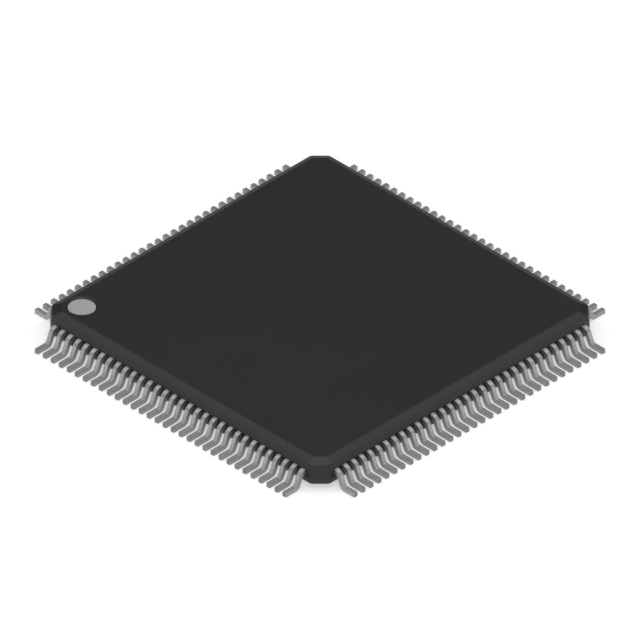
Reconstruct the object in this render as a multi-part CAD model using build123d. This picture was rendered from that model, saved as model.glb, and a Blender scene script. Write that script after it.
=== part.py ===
from build123d import *
from math import radians, sin, sqrt, tan
import os

# A thin quad flat package: a moulded body of 14 x 14 mm with 32 gull-wing leads on each side.
#
# Millimetres, +Z up. The origin is on the seating plane under the middle of the body, so the
# lead feet stand on z = 0. Pin 1 is at the -X, +Y corner, and the pins count anticlockwise
# seen from above: pins 1 to 32 down the -X side, then along -Y, up +X and back along +Y.
#
# Each side is drawn once as the +X side, and turned to its place.

# Leads outside the body
leads_per_side = 32
lead_pitch = 0.40
lead_width = 0.18
lead_thickness = 0.18
shoulder_length = 0.02      # straight part between the body and the upper bend
upper_bend_radius = 0.30    # outer side of the bend
lower_bend_radius = 0.255   # outer side of the bend
lead_slope = 66.5           # degrees below the horizontal
foot_length = 0.495         # flat part that is soldered

# Moulded body
corner_margin = 0.80        # body face to the centre line of the nearest parallel lead
standoff = 0.07             # seating plane to the underside
body_thickness = 1.05
compound_under_leads = 0.48
band_under_leads = 0.153    # upright band at the parting line, below and above the leads
band_over_leads = 0.02
draft_angle = 12.0
top_bevel_width = 0.30
top_bevel_height = 0.135
bottom_bevel_width = 0.22
bottom_bevel_height = 0.10
corner_cut = 0.50           # leg of the 45 degree cut at the band
corner_rounding = 0.25      # rounding at the two ends of that cut
flat_corner_cut = 0.35      # the same two on the top and bottom faces
flat_corner_rounding = 0.085

# Pin 1 mark
dot_inset_x = 1.10          # body faces to the middle of the mark
dot_inset_y = 0.98
dot_rim_radius = 0.555
dot_floor_radius = 0.50
dot_recess_depth = 0.075
dot_ink_thickness = 0.012

# Die, adhesive and paddle
die_width = 6.0
die_thickness = 0.25
attach_thickness = 0.025
attach_border = 0.05
paddle_border = 0.50        # paddle beyond the die on each side
paddle_downset = 0.25       # paddle below the plane of the leads
tie_bar_width = 0.30
tie_bar_flat = 0.25         # flat run between the paddle corner and the tie bar's step
tie_bar_cover = 0.12        # compound between the tie bar's end and the corner face

# Leads inside the body
tip_clearance = 0.70        # paddle edge to the lead tips
tip_corner_gap = 0.60       # last tip of a row to the tips' square corner
tip_width = 0.12

# Bond wires
wire_width = 0.025
pad_inset = 0.12            # die edge to the wire's start
pad_corner_gap = 0.35       # last pad of a row to the die corner
loop_height = 0.15          # top of the loop above the die
loop_run = 0.12             # level distance from the pad to the loop's top
stitch_inset = 0.12         # lead tip to the wire's end
stitch_length = 0.06        # where the flattened wire lies on the lead

leads_per_node = 8

# Sizes that follow from those above
row_length = (leads_per_side - 1) * lead_pitch
half_body = row_length / 2 + corner_margin
body_top = standoff + body_thickness
lead_bottom = standoff + compound_under_leads
lead_top = lead_bottom + lead_thickness
band_bottom = lead_bottom - band_under_leads
band_top = lead_top + band_over_leads
half_die = die_width / 2
half_paddle = half_die + paddle_border
paddle_bottom = lead_bottom - paddle_downset
paddle_top = paddle_bottom + lead_thickness
die_bottom = paddle_top + attach_thickness
die_top = die_bottom + die_thickness
half_tips = half_paddle + tip_clearance


def row(half_length):
    """Places of one side's leads, tips or pads, evenly spaced over the given half length."""
    step = 2 * half_length / (leads_per_side - 1)
    return [index * step - half_length for index in range(leads_per_side)]


def body_outline(height, inset, cut, rounding):
    """Plan of the body at a height: a square with cut corners whose ends are rounded."""
    side = 2 * (half_body - inset)
    cut_square = chamfer(Rectangle(side, side).vertices(), cut)
    return Pos(0, 0, height) * fillet(cut_square.vertices(), rounding)


def body_half(band_edge, bevel_edge, face, bevel_width):
    """One half of the body beyond the band: a drafted wall, then a bevel up to the flat face."""
    draft = abs(bevel_edge - band_edge) * tan(radians(draft_angle))
    drafted_cut = corner_cut - draft * (2 - sqrt(2))
    return loft(
        [
            body_outline(band_edge, 0, corner_cut, corner_rounding),
            body_outline(bevel_edge, draft, drafted_cut, corner_rounding - draft),
            body_outline(face, draft + bevel_width, flat_corner_cut, flat_corner_rounding),
        ],
        ruled=True,
    )


def make_body_blank():
    """The moulded body before anything is set into it."""
    band = extrude(body_outline(band_bottom, 0, corner_cut, corner_rounding), band_top - band_bottom)
    upper = body_half(band_top, body_top - top_bevel_height, body_top, top_bevel_width)
    lower = body_half(band_bottom, standoff + bottom_bevel_height, standoff, bottom_bevel_width)
    return band + upper + lower


def make_dot_recess():
    """The dished mark beside pin 1, as the shape that is taken out of the top face."""
    middle = Pos(dot_inset_x - half_body, half_body - dot_inset_y, body_top - dot_recess_depth / 2)
    return middle * Cone(dot_floor_radius, dot_rim_radius, dot_recess_depth)


def make_dot():
    """The pale ink on the floor of the recess."""
    height = body_top - dot_recess_depth + dot_ink_thickness / 2
    middle = Pos(dot_inset_x - half_body, half_body - dot_inset_y, height)
    return middle * Cylinder(dot_floor_radius, dot_ink_thickness)


def make_outer_lead():
    """The gull wing of one lead, from the body face to the toe, with its width along Y.

    With 128 leads, each bend is one flat that touches its outer radius halfway round.
    """
    slope = radians(lead_slope)
    shift = lead_thickness / sin(slope)
    upper_corner = half_body + shoulder_length + upper_bend_radius * tan(slope / 2)
    foot_corner = upper_corner + (lead_top - lead_thickness) / tan(slope)
    heel_corner = upper_corner + lead_top / tan(slope) - shift
    throat_corner = upper_corner + lead_thickness / tan(slope) - shift
    toe = heel_corner + lower_bend_radius * tan(slope / 2) + foot_length
    outline = Polyline(
        (half_body, lead_top),
        (upper_corner, lead_top),
        (foot_corner, lead_thickness),
        (toe, lead_thickness),
        (toe, 0),
        (heel_corner, 0),
        (throat_corner, lead_bottom),
        (half_body, lead_bottom),
        close=True,
    )
    profile = make_face(outline)
    for corner, radius in (
        ((upper_corner, lead_top), upper_bend_radius),
        ((heel_corner, 0), lower_bend_radius),
    ):
        flat = radius * (tan(slope / 2) - tan(slope / 4))
        profile = chamfer(profile.vertices().sort_by_distance((*corner, 0))[0], flat)
    return extrude(Plane.XZ * profile, lead_width / 2, both=True)


def make_inner_lead(face_place, tip_place):
    """The finger of one lead inside the body, from the body face in to its tip."""
    outline = Polyline(
        (half_body, face_place - lead_width / 2),
        (half_body, face_place + lead_width / 2),
        (half_tips, tip_place + tip_width / 2),
        (half_tips, tip_place - tip_width / 2),
        close=True,
    )
    return extrude(Pos(0, 0, lead_bottom) * make_face(outline), lead_thickness)


def make_bond_wire(pad_place, face_place, tip_place):
    """One wire: up from its die pad, over the loop and down to a stitch on the lead."""
    pad = Vector(half_die - pad_inset, pad_place)
    along_lead = stitch_inset / (half_body - half_tips)
    landing = Vector(half_tips + stitch_inset, tip_place + along_lead * (face_place - tip_place))
    reach = (landing - pad).length
    outline = Polyline(
        (0, die_top),
        (loop_run, die_top + loop_height),
        (reach, lead_top),
        (reach - stitch_length, lead_top),
        (loop_run + wire_width / 2, die_top + loop_height - wire_width),
        (wire_width, die_top),
        close=True,
    )
    direction = (landing - pad).normalized()
    upright = Plane(origin=pad, x_dir=direction, z_dir=(direction.Y, -direction.X, 0))
    return extrude(upright * make_face(outline), wire_width / 2, both=True)


def make_paddle():
    """The plate under the die, with a stepped tie bar out to each corner of the body."""
    plate = Pos(0, 0, paddle_bottom) * extrude(Rectangle(2 * half_paddle, 2 * half_paddle), lead_thickness)
    start = (half_paddle - tie_bar_width) * sqrt(2)
    step = half_paddle * sqrt(2) + tie_bar_flat
    bend = lead_thickness * tan(radians(45 / 2))
    end = (2 * half_body - corner_cut) / sqrt(2) - tie_bar_cover
    outline = Polyline(
        (start, paddle_bottom),
        (step + bend, paddle_bottom),
        (step + bend + paddle_downset, lead_bottom),
        (end, lead_bottom),
        (end, lead_top),
        (step + paddle_downset, lead_top),
        (step, paddle_top),
        (start, paddle_top),
        close=True,
    )
    tie_bar = extrude(Plane.XZ * make_face(outline), tie_bar_width / 2, both=True)
    return plate + [Rot(0, 0, 45 + 90 * corner) * tie_bar for corner in range(4)]


def make_die_attach():
    """The layer of adhesive between the die and the paddle."""
    width = die_width + 2 * attach_border
    return Pos(0, 0, paddle_top) * extrude(Rectangle(width, width), attach_thickness)


def make_die():
    """The silicon chip."""
    return Pos(0, 0, die_bottom) * extrude(Rectangle(die_width, die_width), die_thickness)


def make_lead_row():
    """The leads of the +X side and their wires, from -Y to +Y."""
    outer_lead = make_outer_lead()
    face_row = row(row_length / 2)
    tip_row = row(half_tips - tip_corner_gap)
    pad_row = row(half_die - pad_corner_gap)
    leads = [
        Pos(0, face_place, 0) * outer_lead + make_inner_lead(face_place, tip_place)
        for face_place, tip_place in zip(face_row, tip_row)
    ]
    wires = [make_bond_wire(*places) for places in zip(pad_row, face_row, tip_row)]
    return leads, wires


def on_four_sides(shapes):
    """The shapes of the +X side turned to each side in pin order, which starts with -X."""
    return [Rot(0, 0, 180 + 90 * side) * shape for side in range(4) for shape in shapes]


def pin_groups(prefix, shapes):
    """Named groups of neighbouring pins, such as leads_001_008."""
    groups = {}
    for first in range(0, len(shapes), leads_per_node):
        group = shapes[first:first + leads_per_node]
        groups[f"{prefix}_{first + 1:03d}_{first + len(group):03d}"] = Compound(
            [solid for shape in group for solid in shape.solids()]
        )
    return groups


lead_row, wire_row = make_lead_row()
leads = on_four_sides(lead_row)
wires = on_four_sides(wire_row)
paddle = make_paddle()
die_attach = make_die_attach()
die = make_die()
dot = make_dot()

inserts = leads + wires + [paddle, die_attach, die]
body = make_body_blank() - inserts - [make_dot_recess()]

parts = {
    "moulded_body": body,
    "pin_one_dot": dot,
    "die": die,
    "die_attach": die_attach,
    "die_paddle": paddle,
    **pin_groups("leads", leads),
    **pin_groups("bond_wires", wires),
}

os.makedirs("parts", exist_ok=True)
for name, shape in parts.items():
    export_step(shape, f"parts/{name}.step")
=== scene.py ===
"""The finished look of a 128-lead thin quad flat package.

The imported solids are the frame. The moulded body, the pin 1 mark and the leads are modelled
again here with soft edges and round bends, in the places that the frame gives. The die, its
adhesive, the paddle and the bond wires are sealed inside the body and keep their solids.

Sizes in the classes are millimetres and angles are degrees. MM turns the millimetres into
Blender's metres.
"""

from __future__ import annotations

import logging
import math
from dataclasses import dataclass, field
from enum import Enum

import bmesh
import bpy
import numpy as np
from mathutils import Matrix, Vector

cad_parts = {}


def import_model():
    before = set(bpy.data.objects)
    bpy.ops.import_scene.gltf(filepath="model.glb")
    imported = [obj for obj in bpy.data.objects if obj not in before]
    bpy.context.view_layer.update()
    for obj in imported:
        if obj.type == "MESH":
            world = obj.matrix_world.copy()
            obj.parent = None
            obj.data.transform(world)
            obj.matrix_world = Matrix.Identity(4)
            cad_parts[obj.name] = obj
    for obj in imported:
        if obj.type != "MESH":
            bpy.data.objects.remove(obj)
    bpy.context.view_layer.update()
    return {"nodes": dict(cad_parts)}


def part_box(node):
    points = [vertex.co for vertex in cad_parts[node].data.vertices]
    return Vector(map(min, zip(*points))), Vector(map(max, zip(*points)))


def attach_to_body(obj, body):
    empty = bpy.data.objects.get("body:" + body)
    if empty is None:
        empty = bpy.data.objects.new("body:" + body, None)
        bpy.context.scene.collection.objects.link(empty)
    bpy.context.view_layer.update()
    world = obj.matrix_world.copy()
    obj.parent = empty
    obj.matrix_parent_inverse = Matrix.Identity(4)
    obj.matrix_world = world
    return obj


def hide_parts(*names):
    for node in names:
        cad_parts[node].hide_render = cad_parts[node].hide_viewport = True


MM = 0.001
LOG = logging.getLogger("package")
LEAD_NUMBER = "lead_number"
LEAD_TONE = "lead_tone"
WHITE = (1.0, 1.0, 1.0, 1.0)
NOISE_MIDDLE = 0.5
HARD_EDGE_ANGLE = 60.0

# Numbers of sockets that share their name with others
MIX_FIRST = 6
MIX_SECOND = 7
MIX_RESULT = 2
RANDOM_LEAST = 2
RANDOM_MOST = 3
RANDOM_RESULT = 1

Colour = tuple[float, float, float]
Plan = list[tuple[float, float]]
Ring = list[bmesh.types.BMVert]


class Value:
    """An output socket that can be used in sums, each of which adds a Math node."""

    def __init__(self, graph: Graph, socket: bpy.types.NodeSocket) -> None:
        """Keep the socket and the graph that it belongs to."""
        self.graph = graph
        self.socket = socket

    def _sum(self, operation: str, *operands: Value | float) -> Value:
        """Add a Math node.

        Args:
            operation: The Math node's operation.
            operands: Its inputs, in order.

        Returns:
            The node's result.
        """
        made = self.graph.node("ShaderNodeMath", {"operation": operation}, dict(enumerate(operands)))
        return made["Value"]

    def __add__(self, other: Value | float) -> Value:
        """Return self + other."""
        return self._sum("ADD", self, other)

    def __radd__(self, other: float) -> Value:
        """Return other + self."""
        return self._sum("ADD", other, self)

    def __sub__(self, other: Value | float) -> Value:
        """Return self - other."""
        return self._sum("SUBTRACT", self, other)

    def __rsub__(self, other: float) -> Value:
        """Return other - self."""
        return self._sum("SUBTRACT", other, self)

    def __mul__(self, other: Value | float) -> Value:
        """Return self * other."""
        return self._sum("MULTIPLY", self, other)

    def __rmul__(self, other: float) -> Value:
        """Return other * self."""
        return self._sum("MULTIPLY", other, self)

    def __truediv__(self, other: Value | float) -> Value:
        """Return self / other."""
        return self._sum("DIVIDE", self, other)

    def __rtruediv__(self, other: float) -> Value:
        """Return other / self."""
        return self._sum("DIVIDE", other, self)

    def __gt__(self, other: Value | float) -> Value:
        """Return 1 where self is greater than other, and 0 elsewhere."""
        return self._sum("GREATER_THAN", self, other)

    def tangent(self) -> Value:
        """Return the tangent of an angle in radians."""
        return self._sum("TANGENT", self)

    def without_sign(self) -> Value:
        """Return the value's size."""
        return self._sum("ABSOLUTE", self)

    def at_least(self, other: Value | float) -> Value:
        """Return the greater of self and other."""
        return self._sum("MAXIMUM", self, other)

    def clamped(self) -> Value:
        """Return the value held between 0 and 1."""
        return self._sum("MINIMUM", self.at_least(0.0), 1.0)


class Outputs:
    """The outputs of one node, by name or by number."""

    def __init__(self, graph: Graph, node: bpy.types.Node) -> None:
        """Keep the node and its graph."""
        self.graph = graph
        self.node = node

    def __getitem__(self, name: str | int) -> Value:
        """Return one output."""
        return Value(self.graph, self.node.outputs[name])


class Graph:
    """A shader or geometry node tree that is being built."""

    def __init__(self, tree: bpy.types.NodeTree) -> None:
        """Keep the tree."""
        self.tree = tree

    def node(self, kind: str, settings: dict | None = None, sockets: dict | None = None) -> Outputs:
        """Add a node.

        Args:
            kind: The node's type.
            settings: Its properties, which are set first.
            sockets: Values or links for its inputs, by name or by number.

        Returns:
            The node's outputs.
        """
        made = self.tree.nodes.new(kind)
        for name, setting in (settings or {}).items():
            setattr(made, name, setting)
        for name, value in (sockets or {}).items():
            if isinstance(value, Value):
                self.tree.links.new(value.socket, made.inputs[name])
            else:
                made.inputs[name].default_value = value
        return Outputs(self, made)

    def vector(self, x: Value | float, y: Value | float, z: Value | float) -> Value:
        """Return the three numbers as one vector."""
        return self.node("ShaderNodeCombineXYZ", sockets={"X": x, "Y": y, "Z": z})["Vector"]

    def noise(self, grain: float, detail: float = 2.0, seed: float = 0.0) -> Value:
        """Add a noise pattern on the object's own coordinates.

        Args:
            grain: Size of the pattern's patches in millimetres.
            detail: Octaves of finer pattern.
            seed: Moves the pattern, so that two of them differ.

        Returns:
            Values from 0 to 1 that lie mostly near NOISE_MIDDLE.
        """
        place = self.node("ShaderNodeTexCoord")["Object"]
        moved = self.node("ShaderNodeVectorMath", {"operation": "ADD"}, {0: place, 1: (seed, seed, seed)})
        sockets = {"Vector": moved["Vector"], "Scale": 1 / (grain * MM), "Detail": detail}
        return self.node("ShaderNodeTexNoise", {"noise_dimensions": "3D"}, sockets)["Fac"]

    def mix_colour(self, factor: Value, first: Colour | Value, second: Colour) -> Value:
        """Mix two colours.

        Args:
            factor: The second colour's share, from 0 to 1.
            first: A plain colour, or one that comes from other nodes.
            second: A plain colour.

        Returns:
            The colour between them.
        """
        start = first if isinstance(first, Value) else (*first, 1.0)
        sockets = {"Factor": factor, MIX_FIRST: start, MIX_SECOND: (*second, 1.0)}
        return self.node("ShaderNodeMix", {"data_type": "RGBA"}, sockets)[MIX_RESULT]

    def mix_shader(self, factor: Value, first: Value, second: Value) -> Value:
        """Return a surface between two, where the factor is the second one's share."""
        return self.node("ShaderNodeMixShader", sockets={0: factor, 1: first, 2: second})["Shader"]

    def bump(self, height: Value, depth: float) -> Value:
        """Return a normal roughened by a height pattern of the given depth in millimetres."""
        sockets = {"Height": height, "Distance": depth * MM, "Strength": 1.0}
        return self.node("ShaderNodeBump", sockets=sockets)["Normal"]


def empty_graph(owner: bpy.types.Material | bpy.types.World) -> Graph:
    """Clear the nodes of a new material or world.

    Args:
        owner: The material or world.

    Returns:
        Its node tree, ready to be built.
    """
    owner.use_nodes = True
    owner.node_tree.nodes.clear()
    return Graph(owner.node_tree)


@dataclass(frozen=True)
class Finish:
    """A surface finish. Each kind says what its pattern does in surface()."""

    name: str
    slot: str

    def material(self) -> bpy.types.Material:
        """Build the finish.

        Returns:
            A new material whose shader has this finish's constants and patterns.
        """
        made = bpy.data.materials.new(self.name)
        graph = empty_graph(made)
        shader = graph.node("ShaderNodeBsdfPrincipled", sockets=self.surface(graph))
        graph.node("ShaderNodeOutputMaterial", sockets={"Surface": shader["BSDF"]})
        return made

    def surface(self, graph: Graph) -> dict:
        """Return values or patterns for the shader's sockets."""
        raise NotImplementedError


@dataclass(frozen=True)
class MouldCompound(Finish):
    """Black epoxy full of glass filler, from a finely sparked mould."""

    dark: Colour = (0.0058, 0.0058, 0.0061)
    light: Colour = (0.0090, 0.0090, 0.0094)
    filler_grain: float = 0.06
    filler_share: float = 0.75
    contrast: float = 2.2
    spark_grain: float = 0.022
    spark_depth: float = 0.0035
    flow_grain: float = 3.0
    roughness: float = 0.46
    roughness_drift: float = 0.08
    specular: float = 0.46

    def surface(self, graph: Graph) -> dict:
        """Make a speckled near-black whose gloss drifts slowly across the faces.

        Args:
            graph: The material's graph.

        Returns:
            Values and patterns for the shader's sockets.
        """
        filler = graph.noise(self.filler_grain)
        flow = graph.noise(self.flow_grain, detail=1.0, seed=0.31)
        spark = graph.noise(self.spark_grain, seed=0.77)
        blend = self.filler_share * filler + (1 - self.filler_share) * flow
        tone = self.contrast * (blend - NOISE_MIDDLE) + NOISE_MIDDLE
        return {
            "Base Color": graph.mix_colour(tone.clamped(), self.dark, self.light),
            "Roughness": self.roughness + self.roughness_drift * flow,
            "Specular IOR Level": self.specular,
            "Normal": graph.bump(spark, self.spark_depth),
        }


@dataclass(frozen=True)
class MarkingInk(Finish):
    """Flat pale grey ink, a little thinner in places."""

    thin: Colour = (0.2961, 0.2961, 0.2961)
    full: Colour = (0.3419, 0.3419, 0.3419)
    print_grain: float = 0.12
    print_depth: float = 0.001
    roughness: float = 0.62
    roughness_drift: float = 0.1
    specular: float = 0.2

    def surface(self, graph: Graph) -> dict:
        """Make an almost even grey with a faint mottle.

        Args:
            graph: The material's graph.

        Returns:
            Values and patterns for the shader's sockets.
        """
        mottle = graph.noise(self.print_grain, detail=3.0, seed=0.5)
        return {
            "Base Color": graph.mix_colour(mottle, self.thin, self.full),
            "Roughness": self.roughness + self.roughness_drift * mottle,
            "Specular IOR Level": self.specular,
            "Normal": graph.bump(mottle, self.print_depth),
        }


@dataclass(frozen=True)
class TinPlate(Finish):
    """Matt tin plating: a satin grey metal of fine grains, a shade apart from lead to lead.

    The leads are trimmed after they are plated, so their cut ends are bare. Their darker colour
    is painted shade, which stands for the shade on these upright end faces. Those ends are what lies
    further than cut_reach from the package's middle.
    """

    dull: Colour = (0.325, 0.325, 0.325)
    bright: Colour = (0.388, 0.388, 0.383)
    # Bare cut ends, painted darker as the shade on their upright end faces.
    cut: Colour = (0.240, 0.240, 0.236)
    cut_reach: float = 7.996
    crystal_grain: float = 0.03
    crystal_depth: float = 0.0018
    stain_grain: float = 0.35
    lead_share: float = 0.45
    crystal_share: float = 0.25
    stain_share: float = 0.30
    roughness: float = 0.44
    crystal_roughness: float = 0.05
    stain_roughness: float = 0.1

    def surface(self, graph: Graph) -> dict:
        """Make a grained metal with each lead's own tone, and cut ends darkened with painted shade.

        Args:
            graph: The material's graph.

        Returns:
            Values and patterns for the shader's sockets.
        """
        tone = graph.node("ShaderNodeAttribute", {"attribute_name": LEAD_TONE})["Fac"]
        crystals = graph.noise(self.crystal_grain, detail=1.0)
        stain = graph.noise(self.stain_grain, seed=0.4)
        shade = self.lead_share * tone + self.crystal_share * crystals + self.stain_share * stain
        plated = graph.mix_colour(shade.clamped(), self.dull, self.bright)
        # Beyond this reach lie the cut ends, whose darker colour is painted shade.
        position = graph.node("ShaderNodeTexCoord")["Object"]
        place = graph.node("ShaderNodeSeparateXYZ", sockets={"Vector": position})
        reach = place["X"].without_sign().at_least(place["Y"].without_sign())
        return {
            "Base Color": graph.mix_colour(reach > self.cut_reach * MM, plated, self.cut),
            "Metallic": 1.0,
            "Roughness": self.roughness + self.stain_roughness * stain + self.crystal_roughness * crystals,
            "Normal": graph.bump(crystals, self.crystal_depth),
        }


@dataclass(frozen=True)
class BareMetal(Finish):
    """Rolled or drawn metal, with a colour that wanders a little."""

    dull: Colour = (0.60, 0.30, 0.19)
    bright: Colour = (0.78, 0.44, 0.30)
    grain: float = 0.2
    roughness: float = 0.3
    roughness_drift: float = 0.12

    def surface(self, graph: Graph) -> dict:
        """Make a metal with a faint stain.

        Args:
            graph: The material's graph.

        Returns:
            Values and patterns for the shader's sockets.
        """
        stain = graph.noise(self.grain, detail=3.0)
        return {
            "Base Color": graph.mix_colour(stain, self.dull, self.bright),
            "Metallic": 1.0,
            "Roughness": self.roughness + self.roughness_drift * stain,
        }


@dataclass(frozen=True)
class Silicon(Finish):
    """Polished silicon with the faint block pattern of its circuits."""

    dark: Colour = (0.09, 0.10, 0.13)
    light: Colour = (0.17, 0.16, 0.20)
    block_size: float = 0.5
    block_scatter: float = 0.6
    roughness: float = 0.12
    roughness_drift: float = 0.1
    specular: float = 0.8

    def surface(self, graph: Graph) -> dict:
        """Make a dark gloss in straight-edged blocks, each with its own tone.

        Args:
            graph: The material's graph.

        Returns:
            Values and patterns for the shader's sockets.
        """
        place = graph.node("ShaderNodeTexCoord")["Object"]
        settings = {"voronoi_dimensions": "2D", "distance": "CHEBYCHEV", "feature": "F1"}
        sockets = {"Vector": place, "Scale": 1 / (self.block_size * MM), "Randomness": self.block_scatter}
        cells = graph.node("ShaderNodeTexVoronoi", settings, sockets)["Color"]
        block = graph.node("ShaderNodeSeparateColor", sockets={"Color": cells})["Red"]
        return {
            "Base Color": graph.mix_colour(block, self.dark, self.light),
            "Roughness": self.roughness + self.roughness_drift * block,
            "Specular IOR Level": self.specular,
        }


@dataclass(frozen=True)
class SilverAdhesive(Finish):
    """Silver-filled epoxy under the die."""

    dull: Colour = (0.42, 0.42, 0.41)
    bright: Colour = (0.66, 0.66, 0.64)
    flake_grain: float = 0.04
    metal_share: float = 0.4
    roughness: float = 0.5
    roughness_drift: float = 0.2

    def surface(self, graph: Graph) -> dict:
        """Make a grey paste with brighter flakes.

        Args:
            graph: The material's graph.

        Returns:
            Values and patterns for the shader's sockets.
        """
        flakes = graph.noise(self.flake_grain)
        return {
            "Base Color": graph.mix_colour(flakes, self.dull, self.bright),
            "Metallic": self.metal_share,
            "Roughness": self.roughness + self.roughness_drift * flakes,
        }


def add_object(name: str, data: bpy.types.ID) -> bpy.types.Object:
    """Put a mesh, a lamp or a camera in the scene.

    Args:
        name: The object's name.
        data: Its mesh, which is in place in the frame already, or its lamp or camera.

    Returns:
        The new object, at the origin and unturned.
    """
    thing = bpy.data.objects.new(name, data)
    bpy.context.scene.collection.objects.link(thing)
    return thing


def settle(piece: bpy.types.Object) -> None:
    """Turn a piece's modifiers into its plain mesh.

    Args:
        piece: The piece, which has no modifiers afterwards.
    """
    depsgraph = bpy.context.evaluated_depsgraph_get()
    mesh = bpy.data.meshes.new_from_object(piece.evaluated_get(depsgraph), depsgraph=depsgraph)
    mesh.name = piece.name
    piece.modifiers.clear()
    piece.data = mesh


def flatten_normals(mesh: bpy.types.Mesh) -> None:
    """Shade a mesh smoothly while its large faces stay flat.

    Each face's corner gets the mean normal of the faces around its point. They count by the
    square of their areas, so a large face outweighs the narrow ones beside it. A face that
    meets this one at more than HARD_EDGE_ANGLE doesn't count, so the edge between them is hard.

    Args:
        mesh: The mesh.
    """
    least = math.cos(math.radians(HARD_EDGE_ANGLE))
    around = {}
    for face in mesh.polygons:
        for point in face.vertices:
            around.setdefault(point, []).append((face.normal.copy(), (face.area / MM**2) ** 2))
    normals = []
    for face in mesh.polygons:
        for point in face.vertices:
            near = [normal * weight for normal, weight in around[point] if normal.dot(face.normal) > least]
            normals.append(sum(near, Vector()).normalized())
    mesh.shade_smooth()
    mesh.normals_split_custom_set(normals)


def attach(piece: bpy.types.Object, finish: Finish, *nodes: str) -> None:
    """Hand a finished piece to the frame.

    Args:
        piece: The piece, which rides on the part's one body.
        finish: The finish that it wears. Not used.
        nodes: The solids that it stands for.
    """
    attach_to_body(piece, "root")
    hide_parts(*nodes)
    LOG.info("%s: %d faces, stands for %s", piece.name, len(piece.data.polygons), ", ".join(nodes))


def softened(points: list[tuple[float, ...]], reach: float, steps: int) -> list[tuple[float, ...]]:
    """Round the inner corners of an open line with short parabolas.

    Args:
        points: The line's points. Their first two numbers are a place, and any further ones are
            carried along.
        reach: How far from each corner its curve starts.
        steps: Straight pieces in each curve.

    Returns:
        The line with each inner corner replaced by its curve.
    """
    line = [np.array(point, float) for point in points]
    result = [line[0]]
    for before, corner, after in zip(line, line[1:], line[2:]):
        start, end = (
            corner + (other - corner) * reach / np.linalg.norm((other - corner)[:2])
            for other in (before, after)
        )
        for share in np.linspace(0, 1, steps + 1):
            result.append((1 - share) ** 2 * start + 2 * share * (1 - share) * corner + share**2 * end)
    result.append(line[-1])
    return [tuple(point) for point in result]


def add_ring(shape: bmesh.types.BMesh, plan: Plan, height: float) -> Ring:
    """Add a ring of points at a height, all in millimetres, and return it."""
    return [shape.verts.new(Vector((x, y, height)) * MM) for x, y in plan]


def join_rings(shape: bmesh.types.BMesh, rings: list[Ring]) -> None:
    """Join each ring to the next with a band of faces.

    Args:
        shape: The shape that the rings are in.
        rings: Rings of as many points, anticlockwise seen from above. The faces look outwards
            where each ring lies above the one before, or inside it.
    """
    for lower, upper in zip(rings, rings[1:]):
        for index, corner in enumerate(lower):
            follower = (index + 1) % len(lower)
            shape.faces.new((corner, lower[follower], upper[follower], upper[index]))


def ring_edges(shape: bmesh.types.BMesh, ring: Ring) -> list[bmesh.types.BMEdge]:
    """Return the edges between a ring's neighbouring points."""
    return [shape.edges.get(pair) for pair in zip(ring, ring[1:] + ring[:1])]


def circle(middle: tuple[float, float], radius: float, points: int) -> Plan:
    """Return an anticlockwise circle."""
    turns = (2 * math.pi * index / points for index in range(points))
    return [(middle[0] + radius * math.cos(turn), middle[1] + radius * math.sin(turn)) for turn in turns]


def finish_mesh(shape: bmesh.types.BMesh, name: str) -> bpy.types.Mesh:
    """Turn a shape into a mesh.

    Args:
        shape: The shape, which is freed.
        name: The mesh's name.

    Returns:
        The mesh, shaded smoothly.
    """
    mesh = bpy.data.meshes.new(name)
    shape.to_mesh(mesh)
    shape.free()
    flatten_normals(mesh)
    return mesh


def finish_piece(shape: bmesh.types.BMesh, name: str, finish: Finish, node: str) -> bpy.types.Object:
    """Turn a shape into a finished piece.

    Args:
        shape: The shape, already in place in the frame.
        name: The piece's name.
        finish: The finish that it wears.
        node: The solid that it stands for.

    Returns:
        The piece.
    """
    piece = add_object(name, finish_mesh(shape, name))
    piece.data.materials.append(finish.material())
    attach(piece, finish, node)
    return piece


@dataclass
class PinOneMark:
    """The dished recess beside pin 1 and the ink on its floor."""

    inset_x: float = 1.10
    inset_y: float = 0.98
    rim_radius: float = 0.555
    floor_radius: float = 0.50
    recess_depth: float = 0.075
    rim_softness: float = 0.02
    rim_steps: int = 3
    ink_softness: float = 0.006
    ink_steps: int = 4
    ink_rim: float = 0.024
    points: int = 96

    def middle(self, half_body: float) -> tuple[float, float]:
        """Return the mark's middle, given half the body's width."""
        return (self.inset_x - half_body, half_body - self.inset_y)

    def cut_into(
        self, shape: bmesh.types.BMesh, half_body: float, top: float
    ) -> list[bmesh.types.BMEdge]:
        """Add the recess to the body.

        Args:
            shape: The body's shape so far.
            half_body: Half the body's width.
            top: The height of its top face.

        Returns:
            The edges of the recess's rim, which the top face has to meet.
        """
        floor = top - self.recess_depth
        # A point beyond the rim's curve starts the line along the top face, and is dropped.
        beyond = self.rim_radius + 2 * self.rim_softness
        line = [(beyond, top), (self.rim_radius, top), (self.floor_radius, floor)]
        wall = softened(line, self.rim_softness, self.rim_steps)[1:]
        middle = self.middle(half_body)
        rings = [add_ring(shape, circle(middle, radius, self.points), height) for radius, height in wall]
        join_rings(shape, rings)
        shape.faces.new(rings[-1])
        return ring_edges(shape, rings[0])

    def build_ink(
        self, finish: MarkingInk, half_body: float, top: float, ink_top: float
    ) -> bpy.types.Object:
        """Make the disc of ink.

        Args:
            finish: Its finish.
            half_body: Half the body's width.
            top: The height of the body's top face.
            ink_top: The height of the ink's own top.

        Returns:
            The disc as a closed mesh.
        """
        floor = top - self.recess_depth
        radius = self.floor_radius
        line = [(radius, floor), (radius, ink_top), (radius - self.ink_rim, ink_top)]
        profile = softened(line, self.ink_softness, self.ink_steps)
        shape = bmesh.new()
        middle = self.middle(half_body)
        rings = [add_ring(shape, circle(middle, reach, self.points), height) for reach, height in profile]
        join_rings(shape, rings)
        shape.faces.new(rings[-1])
        shape.faces.new(reversed(rings[0]))
        return finish_piece(shape, "pin_one_ink", finish, "pin_one_dot")


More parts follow.
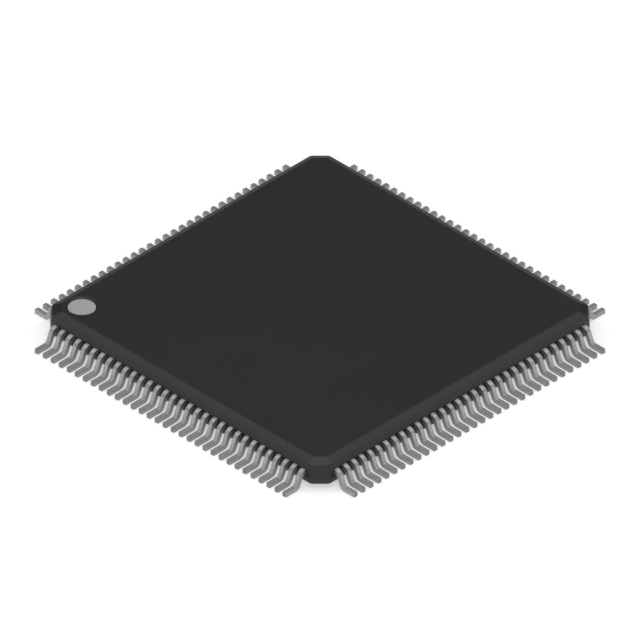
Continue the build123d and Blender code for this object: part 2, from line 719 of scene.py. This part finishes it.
@dataclass
class MouldedBody:
    """The epoxy body: two drafted and bevelled halves on either side of an upright band."""

    band_bottom: float = 0.397
    band_top: float = 0.75
    draft_angle: float = 12.0
    top_bevel: tuple[float, float] = (0.30, 0.135)
    bottom_bevel: tuple[float, float] = (0.22, 0.10)
    corner_cut: float = 0.50
    corner_rounding: float = 0.25
    flat_corner_cut: float = 0.35
    flat_corner_rounding: float = 0.085
    edge_softness: float = 0.028
    edge_steps: int = 3
    corner_points: int = 8
    mark: PinOneMark = field(default_factory=PinOneMark)

    def __post_init__(self) -> None:
        """Read the body's width and heights from the frame."""
        low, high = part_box("moulded_body")
        self.half = high.x / MM
        self.bottom = low.z / MM
        self.top = high.z / MM

    def outline(self, inset: float, cut: float, rounding: float) -> Plan:
        """Draw the body's plan anticlockwise, as a square with cut and rounded corners.

        Args:
            inset: How far the sides lie inside the band's.
            cut: Leg of the 45 degree cut.
            rounding: Radius at the two ends of the cut.

        Returns:
            The plan's points.
        """
        side = self.half - inset
        bend = math.radians(45)
        near = side - rounding
        far = side - cut - rounding * math.tan(bend / 2)
        corner = []
        for (x, y), start in (((near, far), 0.0), ((far, near), bend)):
            for turn in np.linspace(start, start + bend, self.corner_points):
                corner.append((x + rounding * math.cos(turn), y + rounding * math.sin(turn)))
        plan = []
        for _ in range(4):
            plan += corner
            corner = [(-y, x) for x, y in corner]
        return plan

    def half_levels(
        self, band_edge: float, face: float, bevel: tuple[float, float]
    ) -> list[tuple[float, ...]]:
        """List the levels of one half, from its band edge to a level on its flat face.

        That last level lies beyond the curve at the face's edge. It only gives the line its
        direction there, and build() drops it.

        Args:
            band_edge: Height of the band's edge on this half.
            face: Height of the half's flat face.
            bevel: The bevel's width and height.

        Returns:
            For each level its inset, height, corner cut and corner rounding.
        """
        width, height = bevel
        bevel_edge = face - math.copysign(height, face - band_edge)
        draft = abs(bevel_edge - band_edge) * math.tan(math.radians(self.draft_angle))
        beyond = draft + width + 2 * self.edge_softness
        flat = (self.flat_corner_cut, self.flat_corner_rounding)
        return [
            (0.0, band_edge, self.corner_cut, self.corner_rounding),
            (draft, bevel_edge, self.corner_cut - draft * (2 - math.sqrt(2)), self.corner_rounding - draft),
            (draft + width, face, *flat),
            (beyond, face, *flat),
        ]

    def build(self, finish: MouldCompound) -> bpy.types.Object:
        """Make the body.

        Args:
            finish: Its finish.

        Returns:
            The body as one closed mesh with its recess.
        """
        lower = self.half_levels(self.band_bottom, self.bottom, self.bottom_bevel)
        upper = self.half_levels(self.band_top, self.top, self.top_bevel)
        levels = softened(lower[::-1] + upper, self.edge_softness, self.edge_steps)[1:-1]
        shape = bmesh.new()
        rings = [
            add_ring(shape, self.outline(inset, cut, rounding), height)
            for inset, height, cut, rounding in levels
        ]
        join_rings(shape, rings)
        shape.faces.new(reversed(rings[0]))
        rim = self.mark.cut_into(shape, self.half, self.top)
        edges = ring_edges(shape, rings[-1]) + rim
        bmesh.ops.triangle_fill(shape, use_beauty=True, use_dissolve=False, edges=edges)
        bmesh.ops.recalc_face_normals(shape, faces=shape.faces)
        return finish_piece(shape, "epoxy_body", finish, "moulded_body")


class Side(Enum):
    """The package's sides in pin order. Each value is the turn in degrees from the +X side."""

    PINS_1_TO_32 = 180
    PINS_33_TO_64 = 270
    PINS_65_TO_96 = 0
    PINS_97_TO_128 = 90


@dataclass
class LeadRows:
    """The 128 leads: gull wings outside the body and fingers that fan in to the die."""

    per_side: int = 32
    per_piece: int = 8
    corner_margin: float = 0.80
    width: float = 0.18
    thickness: float = 0.18
    tip_width: float = 0.12
    tip_corner_gap: float = 0.60
    shoulder_length: float = 0.02
    upper_bend: float = 0.30
    lower_bend: float = 0.255
    slope: float = 66.5
    edge_width: float = 0.009
    edge_angle: float = 40.0
    bend_steps: int = 5
    seed: int = 7

    NUMBERS = ("Lead Count", "Bend Steps", "Seed")
    LENGTHS = (
        "First Place", "Pitch", "First Tip", "Tip Pitch", "Body Face", "Tip Face", "Shoulder Top",
        "Shoulder Length", "Upper Bend", "Lower Bend", "Toe", "Width", "Tip Width", "Thickness",
    )
    ANGLES = ("Slope", "Turn")

    def __post_init__(self) -> None:
        """Read the body face, the toes, the tips and the shoulders from the frame."""
        self.body_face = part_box("moulded_body")[1].x / MM
        # These pins are on the +X side.
        low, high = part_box("leads_065_072")
        self.tip_face = low.x / MM
        self.toe = high.x / MM
        self.shoulder_top = high.z / MM

    def row(self, half_length: float, first: int) -> tuple[float, float]:
        """Return the place of one lead on a side and the step to the next, in millimetres."""
        step = 2 * half_length / (self.per_side - 1)
        return first * step - half_length, step

    def path(self, graph: Graph, given: Outputs) -> Value:
        """Draw the middle line of one lead, from its tip in the body to its toe.

        Args:
            graph: The tree under construction.
            given: The tree's inputs.

        Returns:
            The line as a curve with round bends.
        """
        half = given["Thickness"] / 2
        shoulder = given["Shoulder Top"] - half
        drop = shoulder - half
        upper = given["Upper Bend"] - half
        lower = given["Lower Bend"] - half
        shoulder_end = given["Body Face"] + given["Shoulder Length"]
        upper_corner = shoulder_end + upper * (given["Slope"] / 2).tangent()
        heel_corner = upper_corner + drop / given["Slope"].tangent()
        stops = (given["Tip Face"], given["Body Face"], upper_corner, heel_corner, given["Toe"])
        index = graph.node("GeometryNodeInputIndex")["Index"]
        # One factor for each stop after the first: 0 for the points before it, and 1 from it on.
        reached = [index > number for number in range(len(stops) - 1)]
        along = stops[0]
        for before, stop, there in zip(stops, stops[1:], reached):
            along = along + (stop - before) * there
        _, upper_reached, heel_reached, _ = reached
        height = shoulder - drop * heel_reached
        radius = upper * upper_reached + (lower - upper) * heel_reached
        # Any line gives the points, which are then moved to the stops.
        line = graph.node("GeometryNodeCurvePrimitiveLine")["Curve"]
        points = graph.node("GeometryNodeResampleCurve", sockets={"Curve": line, "Count": len(stops)})
        place = {"Geometry": points["Curve"], "Position": graph.vector(along, 0.0, height)}
        bent = graph.node("GeometryNodeSetPosition", sockets=place)["Geometry"]
        bend = {"Curve": bent, "Count": given["Bend Steps"], "Radius": radius, "Limit Radius": False}
        return graph.node("GeometryNodeFilletCurve", {"mode": "POLY"}, bend)["Curve"]

    def strip(self, graph: Graph, given: Outputs) -> Value:
        """Sweep the lead's section along its path.

        Args:
            graph: The tree under construction.
            given: The tree's inputs.

        Returns:
            One straight lead as a mesh.
        """
        settings = {"mode": "Z_UP"}
        upright = graph.node("GeometryNodeSetCurveNormal", settings, {"Curve": self.path(graph, given)})
        size = {"Width": given["Width"], "Height": given["Thickness"]}
        section = graph.node("GeometryNodeCurvePrimitiveQuadrilateral", sockets=size)["Curve"]
        sweep = {"Curve": upright["Curve"], "Profile Curve": section, "Fill Caps": True}
        return graph.node("GeometryNodeCurveToMesh", sockets=sweep)["Mesh"]

    def fanned(self, graph: Graph, given: Outputs, leads: Value, number: Value) -> Value:
        """Slant and taper the fingers inside the body.

        Args:
            graph: The tree under construction.
            given: The tree's inputs.
            leads: The straight leads.
            number: Each point's lead number in the row.

        Returns:
            The leads with their tips drawn together.
        """
        position = graph.node("GeometryNodeInputPosition")["Position"]
        place = graph.node("ShaderNodeSeparateXYZ", sockets={"Vector": position})
        depth = (given["Body Face"] - place["X"]) / (given["Body Face"] - given["Tip Face"])
        inside = depth.clamped()
        straight = given["First Place"] + given["Pitch"] * number
        tip = given["First Tip"] + given["Tip Pitch"] * number
        narrowing = 1 - (1 - given["Tip Width"] / given["Width"]) * inside
        across = straight + (tip - straight) * inside + (place["Y"] - straight) * narrowing
        moved = {"Geometry": leads, "Position": graph.vector(place["X"], across, place["Z"])}
        return graph.node("GeometryNodeSetPosition", sockets=moved)["Geometry"]

    def build_tree(self) -> tuple[bpy.types.NodeTree, dict[str, str]]:
        """Build the nodes that make a group of leads.

        Returns:
            The tree, and the identifier of each of its inputs by name.
        """
        tree = bpy.data.node_groups.new("gull_wing_leads", "GeometryNodeTree")
        kinds = {name: "NodeSocketInt" for name in self.NUMBERS}
        kinds |= {name: "NodeSocketFloat" for name in self.LENGTHS + self.ANGLES}
        kinds["Plating"] = "NodeSocketMaterial"
        identifiers = {}
        for name, kind in kinds.items():
            socket = tree.interface.new_socket(name, in_out="INPUT", socket_type=kind)
            identifiers[name] = socket.identifier
        tree.interface.new_socket("Leads", in_out="OUTPUT", socket_type="NodeSocketGeometry")
        graph = Graph(tree)
        given = graph.node("NodeGroupInput")
        start = graph.vector(0.0, given["First Place"], 0.0)
        step = graph.vector(0.0, given["Pitch"], 0.0)
        line = {"Count": given["Lead Count"], "Start Location": start, "Offset": step}
        places = graph.node("GeometryNodeMeshLine", sockets=line)["Mesh"]
        copies = {"Points": places, "Instance": self.strip(graph, given)}
        row = graph.node("GeometryNodeInstanceOnPoints", sockets=copies)["Instances"]
        index = graph.node("GeometryNodeInputIndex")["Index"]
        chance = {RANDOM_LEAST: 0.0, RANDOM_MOST: 1.0, "ID": index, "Seed": given["Seed"]}
        tone = graph.node("FunctionNodeRandomValue", {"data_type": "FLOAT"}, chance)[RANDOM_RESULT]
        for name, value in ((LEAD_NUMBER, index), (LEAD_TONE, tone)):
            stored = {"Geometry": row, "Name": name, "Value": value}
            settings = {"data_type": "FLOAT", "domain": "INSTANCE"}
            row = graph.node("GeometryNodeStoreNamedAttribute", settings, stored)["Geometry"]
        leads = graph.node("GeometryNodeRealizeInstances", sockets={"Geometry": row})["Geometry"]
        numbered = {"data_type": "FLOAT"}
        number = graph.node("GeometryNodeInputNamedAttribute", numbered, {"Name": LEAD_NUMBER})
        leads = self.fanned(graph, given, leads, number["Attribute"])
        counted = {"Geometry": leads, "Name": LEAD_NUMBER}
        leads = graph.node("GeometryNodeRemoveAttribute", sockets=counted)["Geometry"]
        group = graph.node("GeometryNodeGeometryToInstance", sockets={"Geometry": leads})["Instances"]
        turned = {"Instances": group, "Rotation": graph.vector(0.0, 0.0, given["Turn"])}
        row = graph.node("GeometryNodeRotateInstances", sockets=turned)["Instances"]
        leads = graph.node("GeometryNodeRealizeInstances", sockets={"Geometry": row})["Geometry"]
        plated = {"Geometry": leads, "Material": given["Plating"]}
        leads = graph.node("GeometryNodeSetMaterial", sockets=plated)["Geometry"]
        graph.node("NodeGroupOutput", sockets={"Leads": leads})
        return tree, identifiers

    def build(self, finish: TinPlate) -> list[bpy.types.Object]:
        """Make every group of leads.

        Args:
            finish: The plating.

        Returns:
            One plain mesh for each group, in pin order.
        """
        tree, identifiers = self.build_tree()
        plating = finish.material()
        half_row = self.body_face - self.corner_margin
        half_tips = self.tip_face - self.tip_corner_gap
        pieces = []
        for turn, side in enumerate(Side):
            for first in range(0, self.per_side, self.per_piece):
                place, pitch = self.row(half_row, first)
                tip, tip_pitch = self.row(half_tips, first)
                pin = turn * self.per_side + first + 1
                lengths = {
                    "First Place": place, "Pitch": pitch, "First Tip": tip, "Tip Pitch": tip_pitch,
                    "Body Face": self.body_face, "Tip Face": self.tip_face,
                    "Shoulder Top": self.shoulder_top, "Shoulder Length": self.shoulder_length,
                    "Upper Bend": self.upper_bend, "Lower Bend": self.lower_bend, "Toe": self.toe,
                    "Width": self.width, "Tip Width": self.tip_width, "Thickness": self.thickness,
                }
                values = {name: length * MM for name, length in lengths.items()}
                values |= {"Slope": math.radians(self.slope), "Turn": math.radians(side.value)}
                values |= {"Lead Count": self.per_piece, "Bend Steps": self.bend_steps}
                values |= {"Seed": self.seed + pin, "Plating": plating}
                group = f"{pin:03d}_{pin + self.per_piece - 1:03d}"
                pieces.append(self.build_group(group, tree, identifiers, values, finish))
        return pieces

    def build_group(
        self,
        group: str,
        tree: bpy.types.NodeTree,
        identifiers: dict[str, str],
        values: dict[str, float | int | bpy.types.Material],
        finish: TinPlate,
    ) -> bpy.types.Object:
        """Make one group of leads.

        Args:
            group: Its first and last pin, as the node's name has them.
            tree: The nodes that make leads.
            identifiers: The identifier of each input by name.
            values: The value of each input by name.
            finish: The plating.

        Returns:
            The group as a plain mesh.
        """
        piece = add_object(f"gull_leads_{group}", bpy.data.meshes.new("leads"))
        maker = piece.modifiers.new("leads", "NODES")
        maker.node_group = tree
        for name, value in values.items():
            maker[identifiers[name]] = value
        edges = piece.modifiers.new("edges", "BEVEL")
        edges.width = self.edge_width * MM
        edges.segments = 1
        edges.limit_method = "ANGLE"
        edges.angle_limit = math.radians(self.edge_angle)
        settle(piece)
        flatten_normals(piece.data)
        attach(piece, finish, f"leads_{group}")
        return piece


@dataclass
class SealedPieces:
    """The pieces inside the body, which keep their solids and get their finishes."""

    silicon: Silicon = Silicon("silicon_chip", "silicon")
    adhesive: SilverAdhesive = SilverAdhesive("silver_adhesive", "die_adhesive")
    copper: BareMetal = BareMetal("copper_strip", "lead_frame")
    gold: BareMetal = BareMetal(
        "gold_wire", "gold_wire", dull=(0.80, 0.52, 0.16), bright=(0.92, 0.66, 0.26)
    )

    def dress(self, nodes: dict[str, bpy.types.Object]) -> None:
        """Give each sealed solid its finish.

        Args:
            nodes: The frame's solids by name.
        """
        finishes = {"die": self.silicon, "die_attach": self.adhesive, "die_paddle": self.copper}
        finishes |= {name: self.gold for name in nodes if name.startswith("bond_wires")}
        made = {finish: finish.material() for finish in dict.fromkeys(finishes.values())}
        for name, finish in finishes.items():
            nodes[name].material_slots[0].material = made[finish]
            LOG.info("%s: dressed in %s", name, finish.name)


@dataclass(frozen=True)
class SoftLamp:
    """A distant lamp. Its azimuth, elevation and width in the sky are degrees."""

    name: str
    azimuth: float
    elevation: float
    width: float
    strength: float


@dataclass
class Studio:
    """White surroundings, soft light and the drawing's isometric camera."""

    aim_height: float = 0.5635
    view_width: float = 22.655
    camera_azimuth: float = -45.0
    camera_elevation: float = 35.264
    stand_off: float = 100.0
    clip_near: float = 1.0
    clip_far: float = 10000.0
    lamps: tuple[SoftLamp, ...] = (
        SoftLamp("key", -45.0, 30.0, 40.0, 0.9),
        SoftLamp("left_fill", -125.0, 7.0, 14.0, 0.36),
        SoftLamp("right_fill", 35.0, 7.0, 14.0, 0.36),
        SoftLamp("left_high", -148.0, 45.0, 26.0, 0.26),
        SoftLamp("right_high", 58.0, 45.0, 26.0, 0.26),
    )
    softbox_width: float = 480.0
    softbox_height: float = 300.0
    softbox_radiance: float = 1.86
    ceiling: float = 0.03
    backdrop_top: float = 0.05
    backdrop_fade: float = 0.05
    floor_width: float = 120.0
    floor_gap: float = 0.002
    floor_white: float = 0.5

    def build(self) -> None:
        """Make the surroundings, the floor, the lamps and the camera."""
        self.build_surroundings()
        self.build_floor()
        self.build_lamps()
        self.build_softbox()
        self.build_camera()
        bpy.context.scene.view_settings.view_transform = "Standard"

    def build_surroundings(self) -> None:
        """Surround the part with a white backdrop below a dim ceiling.

        The camera sees white all round, and glossy and transmission rays see the backdrop and
        the ceiling. Other rays get the ceiling's level from everywhere.
        """
        world = bpy.data.worlds.new("studio")
        graph = empty_graph(world)
        rays = graph.node("ShaderNodeLightPath")
        heading = graph.node("ShaderNodeTexCoord")["Generated"]
        rise = graph.node("ShaderNodeSeparateXYZ", sockets={"Vector": heading})["Z"]
        backdrop = ((self.backdrop_top - rise) / self.backdrop_fade).clamped()
        mirrored = (rays["Is Glossy Ray"] + rays["Is Transmission Ray"]) * backdrop
        white = (rays["Is Camera Ray"] + mirrored).clamped()
        strength = self.ceiling + (1 - self.ceiling) * white
        sockets = {"Color": WHITE, "Strength": strength}
        sky = graph.node("ShaderNodeBackground", sockets=sockets)["Background"]
        graph.node("ShaderNodeOutputWorld", sockets={"Surface": sky})
        bpy.context.scene.world = world

    def build_floor(self) -> None:
        """Lay a white matt floor just under the feet.

        Part of what the camera and the reflections see of it is plain white, which keeps the
        part's shadow faint. From below it is clear.
        """
        half = self.floor_width / 2
        shape = bmesh.new()
        square = [(-half, -half), (half, -half), (half, half), (-half, half)]
        shape.faces.new(add_ring(shape, square, -self.floor_gap))
        floor = add_object("floor", finish_mesh(shape, "floor"))
        paint = bpy.data.materials.new("floor_paint")
        graph = empty_graph(paint)
        matt = graph.node("ShaderNodeBsdfDiffuse", sockets={"Color": WHITE})["BSDF"]
        rays = graph.node("ShaderNodeLightPath")
        seen = rays["Is Camera Ray"] + rays["Is Glossy Ray"] + rays["Is Transmission Ray"]
        share = self.floor_white * seen.clamped()
        plain = graph.node("ShaderNodeEmission", sockets={"Color": WHITE, "Strength": 1.0})["Emission"]
        paper = graph.mix_shader(share, matt, plain)
        clear = graph.node("ShaderNodeBsdfTransparent")["BSDF"]
        beneath = graph.node("ShaderNodeNewGeometry")["Backfacing"]
        surface = graph.mix_shader(beneath, paper, clear)
        graph.node("ShaderNodeOutputMaterial", sockets={"Surface": surface})
        floor.data.materials.append(paint)

    @staticmethod
    def direction(azimuth: float, elevation: float) -> Vector:
        """Work out the way from the part towards a place in its sky.

        Args:
            azimuth: Degrees round from -Y, anticlockwise seen from above.
            elevation: Degrees above the horizon.

        Returns:
            The way, of length 1.
        """
        turn, rise = math.radians(azimuth), math.radians(elevation)
        level = math.cos(rise)
        return Vector((math.sin(turn) * level, -math.cos(turn) * level, math.sin(rise)))

    def place(self, name: str, data: bpy.types.ID, towards: Vector) -> bpy.types.Object:
        """Stand a lamp or camera off from the part, looking at it.

        Args:
            name: The object's name.
            data: The lamp or camera.
            towards: The way from the part to its place.

        Returns:
            The new object.
        """
        thing = add_object(name, data)
        thing.location = Vector((0.0, 0.0, self.aim_height * MM)) + towards * self.stand_off * MM
        thing.rotation_mode = "QUATERNION"
        thing.rotation_quaternion = (-towards).to_track_quat("-Z", "Y")
        return thing

    def build_lamps(self) -> None:
        """Light the part softly from behind the camera, and from low and halfway up at both sides."""
        for lamp in self.lamps:
            light = bpy.data.lights.new(lamp.name, "SUN")
            light.energy = lamp.strength
            light.angle = math.radians(lamp.width)
            self.place(lamp.name, light, self.direction(lamp.azimuth, lamp.elevation))

    def build_softbox(self) -> None:
        """Hang a large round softbox over the part, which takes up 77 degrees of its sky.

        The power of such a lamp is pi times its area and its radiance.
        """
        lamp = bpy.data.lights.new("softbox", "AREA")
        lamp.shape = "DISK"
        lamp.size = self.softbox_width * MM
        area = math.pi * (lamp.size / 2) ** 2
        lamp.energy = math.pi * area * self.softbox_radiance
        softbox = add_object("softbox", lamp)
        softbox.location = (0.0, 0.0, self.softbox_height * MM)

    def build_camera(self) -> None:
        """Set up the parallel camera of an isometric drawing."""
        data = bpy.data.cameras.new("camera")
        data.type = "ORTHO"
        data.ortho_scale = self.view_width * MM
        data.clip_start = self.clip_near * MM
        data.clip_end = self.clip_far * MM
        towards = self.direction(self.camera_azimuth, self.camera_elevation)
        bpy.context.scene.camera = self.place("camera", data, towards)


def main() -> None:
    """Build the pieces in order."""
    logging.basicConfig(level=logging.INFO, format="%(message)s")
    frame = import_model()
    body = MouldedBody()
    body.build(MouldCompound("mould_compound", "mould_compound"))
    ink_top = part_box("pin_one_dot")[1].z / MM
    body.mark.build_ink(MarkingInk("marking_ink", "marking_ink"), body.half, body.top, ink_top)
    LeadRows().build(TinPlate("matt_tin", "plated_lead"))
    SealedPieces().dress(frame["nodes"])
    Studio().build()


if __name__ == "__main__":
    main()
